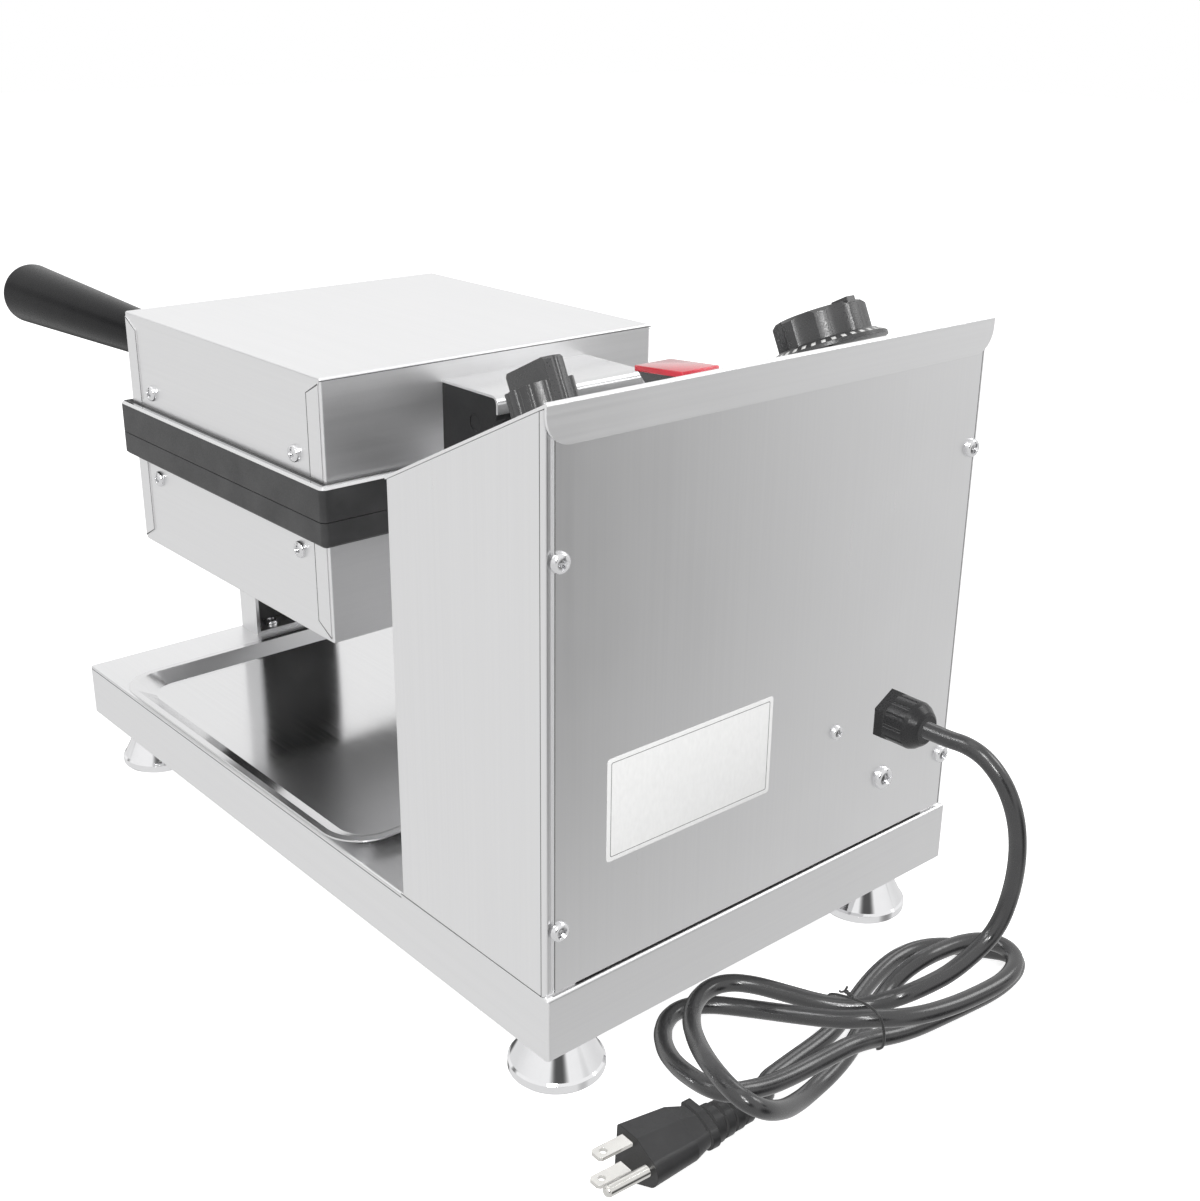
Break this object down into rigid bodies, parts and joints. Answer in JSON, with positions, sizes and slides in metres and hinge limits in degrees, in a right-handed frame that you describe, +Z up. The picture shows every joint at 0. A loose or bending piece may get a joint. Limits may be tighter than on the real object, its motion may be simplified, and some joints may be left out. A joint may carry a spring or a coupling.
{
  "type": "bubble waffle maker",
  "caption": "Countertop bubble waffle maker: a hinged, turning mould head with a long handle over a drip tray, and a sloping control box behind.",
  "frame": {"origin": "on the floor under the middle of the machine's box, measured without its power cord", "axes": "+Z up, +Y from the handle towards the control box, +X to the right of a person who faces the handle end"},
  "size_m": [0.2704, 0.6697, 0.3079],
  "materials": {
    "stainless": "brushed",
    "chrome": "polished",
    "zinc": "satin",
    "steel": "satin",
    "cast_plate": "matte non-stick",
    "black_paint": "satin",
    "bronze": "satin",
    "heater_sheath": "satin",
    "handle_plastic": "satin",
    "knob_plastic": "satin",
    "case_plastic": "matte",
    "gland_plastic": "satin",
    "red_lens": "glossy",
    "plug_plastic": "satin",
    "plated_brass": "satin",
    "cord_rubber": "satin"
  },
  "bodies": {
    "stand": {"base_frame": "stainless", "foot_front_left": "chrome", "foot_front_right": "chrome", "foot_rear_left": "chrome", "foot_rear_right": "chrome", "foot_nuts": "stainless", "control_box_shell": "stainless", "control_panel": "stainless", "rear_panel": "stainless", "rear_panel_screws": "zinc", "base_screws": "zinc", "bonding_screw": "zinc", "terminal_screw": "zinc", "terminal_block": "case_plastic", "gland_body": "gland_plastic", "gland_nut": "gland_plastic", "gland_locknut": "gland_plastic", "timer_body": "case_plastic", "thermostat_body": "case_plastic", "switch_housing": "case_plastic", "bearing_housing": "black_paint", "bearing_bolts": "zinc", "stop_pins": "zinc", "front_post": "stainless", "front_bush": "bronze", "plug_body": "plug_plastic", "plug_blades": "plated_brass", "plug_earth_pin": "plated_brass", "power_cord": "cord_rubber", "cord_hank": "cord_rubber"},
    "head": {"lower_plate": "cast_plate", "lower_cover": "stainless", "lower_cover_screws": "zinc", "lower_heating_element": "heater_sheath", "temperature_probe": "heater_sheath", "yoke": "black_paint", "pivot_bolts": "zinc", "rear_shaft": "steel", "stop_collar": "steel", "front_pivot_bracket": "steel", "latch_peg": "zinc"},
    "lid": {"upper_plate": "cast_plate", "upper_cover": "stainless", "upper_cover_screws": "zinc", "upper_heating_element": "heater_sheath", "hinge_bracket": "black_paint", "hinge_cover": "stainless", "hinge_screws": "zinc", "hinge_pin": "steel", "handle_rod": "steel", "handle_nut": "zinc", "handle_ferrule": "steel", "handle_grip": "handle_plastic", "latch_pivot": "zinc"},
    "latch": {"latch_hook": "steel"},
    "tray": {"drip_tray": "stainless"},
    "timer": {"timer_knob": "knob_plastic"},
    "thermostat": {"thermostat_knob": "knob_plastic", "thermostat_dial": "knob_plastic"},
    "switch": {"rocker": "red_lens"}
  },
  "joints": [
    {"name": "head_rotation", "type": "hinge", "parent": "stand", "child": "head", "pos_m": [0, 0.1855, 0.2014], "axis": [0, 1, 0], "range_deg": [-180, 0]},
    {"name": "lid_hinge", "type": "hinge", "parent": "head", "child": "lid", "pos_m": [-0.011, 0.121, 0.241], "axis": [-1, 0, 0], "range_deg": [0, 100]},
    {"name": "latch_pivot", "type": "hinge", "parent": "lid", "child": "latch", "pos_m": [-0.055, -0.1063, 0.2324], "axis": [0, -1, 0], "range_deg": [0, 42]},
    {"name": "tray_slide", "type": "slide", "parent": "stand", "child": "tray", "axis": [1, 0, 0], "range_m": [0, 0.22]},
    {"name": "timer_turn", "type": "hinge", "parent": "stand", "child": "timer", "pos_m": [0.085, 0.23943, 0.2743], "axis": [0, 0.4383, -0.8988], "range_deg": [0, 300]},
    {"name": "thermostat_turn", "type": "hinge", "parent": "stand", "child": "thermostat", "pos_m": [-0.065, 0.24752, 0.27825], "axis": [0, 0.4383, -0.8988], "range_deg": [0, 300]},
    {"name": "rocker_tilt", "type": "hinge", "parent": "stand", "child": "switch", "pos_m": [0.016, 0.24107, 0.27777], "axis": [1, 0, 0], "range_deg": [0, 22]}
  ]
}
